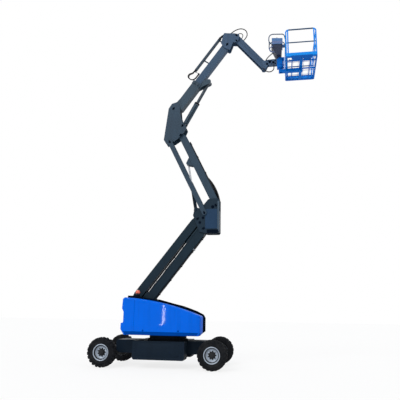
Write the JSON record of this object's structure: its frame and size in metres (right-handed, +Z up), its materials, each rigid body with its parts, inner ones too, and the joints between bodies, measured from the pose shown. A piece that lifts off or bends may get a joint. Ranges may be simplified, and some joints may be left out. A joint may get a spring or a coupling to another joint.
{
  "type": "articulating boom lift",
  "caption": "Self-propelled articulating boom lift: four wheels, slewing turntable, folding twin-beam riser, mid boom, telescopic upper boom, jib and work basket.",
  "frame": {"origin": "on the ground under the middle of the whole box", "axes": "+Z up, +X towards the basket, +Y across the machine"},
  "size_m": [6.8692, 2.19, 10.942],
  "materials": {
    "chassis_paint": "satin",
    "axle_iron": "matt",
    "counterweight_iron": "matt paint",
    "engine_iron": "rough",
    "tank_plastic": "matt",
    "beacon_amber": "gloss",
    "cover_blue": "gloss",
    "cylinder_paint": "satin",
    "rod_chrome": "polished",
    "tray_black": "satin",
    "platform_blue": "gloss",
    "control_grey": "matt",
    "boom_grey": "satin",
    "tyre": "matt",
    "rim_silver": "satin"
  },
  "bodies": {
    "chassis": {"chassis_frame": "chassis_paint", "chassis_boxes": "chassis_paint", "front_axle": "axle_iron", "rear_axle": "axle_iron", "slew_ring": "axle_iron"},
    "knuckle_left": {"steer_knuckle_left": "axle_iron"},
    "knuckle_right": {"steer_knuckle_right": "axle_iron"},
    "wheel_front_left": {"tyre_front_left": "tyre", "rim_front_left": "rim_silver"},
    "wheel_front_right": {"tyre_front_right": "tyre", "rim_front_right": "rim_silver"},
    "wheel_rear_left": {"tyre_rear_left": "tyre", "rim_rear_left": "rim_silver"},
    "wheel_rear_right": {"tyre_rear_right": "tyre", "rim_rear_right": "rim_silver"},
    "turntable": {"turntable_frame": "chassis_paint", "counterweight": "counterweight_iron", "engine_block": "engine_iron", "tank_block": "tank_plastic", "beacon": "beacon_amber"},
    "hood_left": {"hood_left": "cover_blue"},
    "hood_right": {"hood_right": "cover_blue"},
    "riser_lower": {"riser_lower_beam": "boom_grey"},
    "riser_upper": {"riser_upper_beam": "boom_grey"},
    "elbow": {"elbow": "boom_grey"},
    "mid_beam": {"mid_beam": "boom_grey"},
    "mid_link": {"mid_link": "boom_grey"},
    "knuckle": {"knuckle": "boom_grey"},
    "boom_outer": {"boom_outer": "boom_grey"},
    "boom_inner": {"boom_inner": "boom_grey", "hose_tray": "tray_black"},
    "boom_head": {"boom_head": "boom_grey"},
    "jib_arm": {"jib_arm": "boom_grey"},
    "jib_link": {"jib_link": "boom_grey"},
    "jib_mount": {"jib_mount": "boom_grey", "rotator": "platform_blue"},
    "platform": {"platform_arm": "platform_blue", "platform_floor": "platform_blue", "platform_rails": "platform_blue", "control_box": "control_grey"},
    "riser_barrel": {"riser_barrel": "cylinder_paint"},
    "riser_rod": {"riser_rod": "rod_chrome"},
    "mid_barrel": {"mid_barrel": "cylinder_paint"},
    "mid_rod": {"mid_rod": "rod_chrome"},
    "upper_barrel": {"upper_barrel": "cylinder_paint"},
    "upper_rod": {"upper_rod": "rod_chrome"}
  },
  "joints": [
    {"name": "steer_left", "type": "hinge", "parent": "chassis", "child": "knuckle_left", "pos_m": [0.19145, 0.7, 0.42], "axis": [0, 0, 1], "range_deg": [-30, 30]},
    {"name": "steer_right", "type": "hinge", "parent": "chassis", "child": "knuckle_right", "pos_m": [0.19145, -0.7, 0.42], "axis": [0, 0, 1], "range_deg": [-30, 30]},
    {"name": "roll_front_left", "type": "hinge", "parent": "knuckle_left", "child": "wheel_front_left", "pos_m": [0.19145, 0.945, 0.42], "axis": [0, 1, 0], "continuous": true},
    {"name": "roll_front_right", "type": "hinge", "parent": "knuckle_right", "child": "wheel_front_right", "pos_m": [0.19145, -0.945, 0.42], "axis": [0, 1, 0], "continuous": true},
    {"name": "roll_rear_left", "type": "hinge", "parent": "chassis", "child": "wheel_rear_left", "pos_m": [-3.01455, 0.945, 0.42], "axis": [0, 1, 0], "continuous": true},
    {"name": "roll_rear_right", "type": "hinge", "parent": "chassis", "child": "wheel_rear_right", "pos_m": [-3.01455, -0.945, 0.42], "axis": [0, 1, 0], "continuous": true},
    {"name": "slew", "type": "hinge", "parent": "chassis", "child": "turntable", "pos_m": [-1.29155, 0, 0.918], "axis": [0, 0, 1], "continuous": true},
    {"name": "hood_right_swing", "type": "hinge", "parent": "turntable", "child": "hood_right", "pos_m": [-0.17655, -0.505, 0.976], "axis": [0, 0, 1], "range_deg": [0, 75]},
    {"name": "hood_left_swing", "type": "hinge", "parent": "turntable", "child": "hood_left", "pos_m": [-0.33555, 0.505, 0.976], "axis": [0, 0, -1], "range_deg": [0, 75]},
    {"name": "riser_lift", "type": "hinge", "parent": "turntable", "child": "riser_lower", "pos_m": [-2.15155, 0, 1.642], "axis": [0, -1, 0], "range_deg": [-52, 8]},
    {"name": "riser_link", "type": "hinge", "parent": "turntable", "child": "riser_upper", "pos_m": [-2.34155, 0, 1.952], "axis": [0, -1, 0], "range_deg": [-52, 8]},
    {"name": "elbow_level", "type": "hinge", "parent": "riser_lower", "child": "elbow", "pos_m": [-0.2209, 0, 4.13099], "axis": [0, -1, 0], "range_deg": [-8, 52]},
    {"name": "mid_lift", "type": "hinge", "parent": "elbow", "child": "mid_beam", "pos_m": [0.1641, 0, 4.86099], "axis": [0, -1, 0], "range_deg": [-8.96, 58.24]},
    {"name": "mid_link_turn", "type": "hinge", "parent": "elbow", "child": "mid_link", "pos_m": [-0.1959, 0, 4.62099], "axis": [0, -1, 0], "range_deg": [-8.96, 58.24]},
    {"name": "knuckle_level", "type": "hinge", "parent": "mid_beam", "child": "knuckle", "pos_m": [-1.01625, 0, 7.2704], "axis": [0, -1, 0], "range_deg": [-58.24, 8.96]},
    {"name": "boom_lift", "type": "hinge", "parent": "knuckle", "child": "boom_outer", "pos_m": [-1.28625, 0, 8.2204], "axis": [0, -1, 0], "range_deg": [-60, 11]},
    {"name": "boom_telescope", "type": "slide", "parent": "boom_outer", "child": "boom_inner", "axis": [-0.5892, 0, -0.808], "range_m": [0, 0.75]},
    {"name": "head_level", "type": "hinge", "parent": "boom_inner", "child": "boom_head", "pos_m": [0.51365, 0, 10.50199], "axis": [0, -1, 0], "range_deg": [-11, 60]},
    {"name": "jib_lift", "type": "hinge", "parent": "boom_head", "child": "jib_arm", "pos_m": [0.83365, 0, 10.82199], "axis": [0, -1, 0], "range_deg": [-27, 113]},
    {"name": "jib_link_turn", "type": "hinge", "parent": "boom_head", "child": "jib_link", "pos_m": [0.83365, 0, 10.61699], "axis": [0, -1, 0], "range_deg": [-27, 113]},
    {"name": "mount_level", "type": "hinge", "parent": "jib_arm", "child": "jib_mount", "pos_m": [1.73355, 0, 9.74953], "axis": [0, -1, 0], "range_deg": [-113, 27]},
    {"name": "platform_turn", "type": "hinge", "parent": "jib_mount", "child": "platform", "pos_m": [2.29855, 0, 9.47152], "axis": [0, 0, 1], "range_deg": [-80, 80]},
    {"name": "riser_barrel_turn", "type": "hinge", "parent": "turntable", "child": "riser_barrel", "pos_m": [-1.16155, 0, 1.12], "axis": [0, -1, 0], "range_deg": [-3.29, 21.32]},
    {"name": "riser_rod_slide", "type": "slide", "parent": "riser_barrel", "child": "riser_rod", "axis": [-0.6274, 0, 0.7787], "range_m": [-0.25401, 0.03925]},
    {"name": "mid_barrel_turn", "type": "hinge", "parent": "elbow", "child": "mid_barrel", "pos_m": [-0.4909, 0, 4.72099], "axis": [0, -1, 0], "range_deg": [-10.91, 70.89]},
    {"name": "mid_rod_slide", "type": "slide", "parent": "mid_barrel", "child": "mid_rod", "axis": [-0.1758, 0, 0.9844], "range_m": [-0.56815, 0.08758]},
    {"name": "upper_barrel_turn", "type": "hinge", "parent": "knuckle", "child": "upper_barrel", "pos_m": [-0.96625, 0, 7.6004], "axis": [0, -1, 0], "range_deg": [-54.34, 9.97]},
    {"name": "upper_rod_slide", "type": "slide", "parent": "upper_barrel", "child": "upper_rod", "axis": [0.4736, 0, 0.8808], "range_m": [-0.68285, 0.12535]}
  ],
  "couplings": [
    {"joint": "steer_right", "follows": "steer_left", "ratio": 1},
    {"joint": "riser_link", "follows": "riser_lift", "ratio": 1},
    {"joint": "elbow_level", "follows": "riser_lift", "ratio": -1},
    {"joint": "mid_lift", "follows": "riser_lift", "ratio": -1.12},
    {"joint": "mid_link_turn", "follows": "riser_lift", "ratio": -1.12},
    {"joint": "knuckle_level", "follows": "riser_lift", "ratio": 1.12},
    {"joint": "head_level", "follows": "boom_lift", "ratio": -1},
    {"joint": "jib_link_turn", "follows": "jib_lift", "ratio": 1},
    {"joint": "mount_level", "follows": "jib_lift", "ratio": -1},
    {"joint": "riser_barrel_turn", "follows": "riser_lift", "ratio": -0.4098},
    {"joint": "riser_rod_slide", "follows": "riser_lift", "m_per_rad": 0.27966},
    {"joint": "mid_barrel_turn", "follows": "riser_lift", "ratio": -1.3632},
    {"joint": "mid_rod_slide", "follows": "riser_lift", "m_per_rad": 0.62579},
    {"joint": "upper_barrel_turn", "follows": "boom_lift", "ratio": 0.90558},
    {"joint": "upper_rod_slide", "follows": "boom_lift", "m_per_rad": 0.65188}
  ]
}
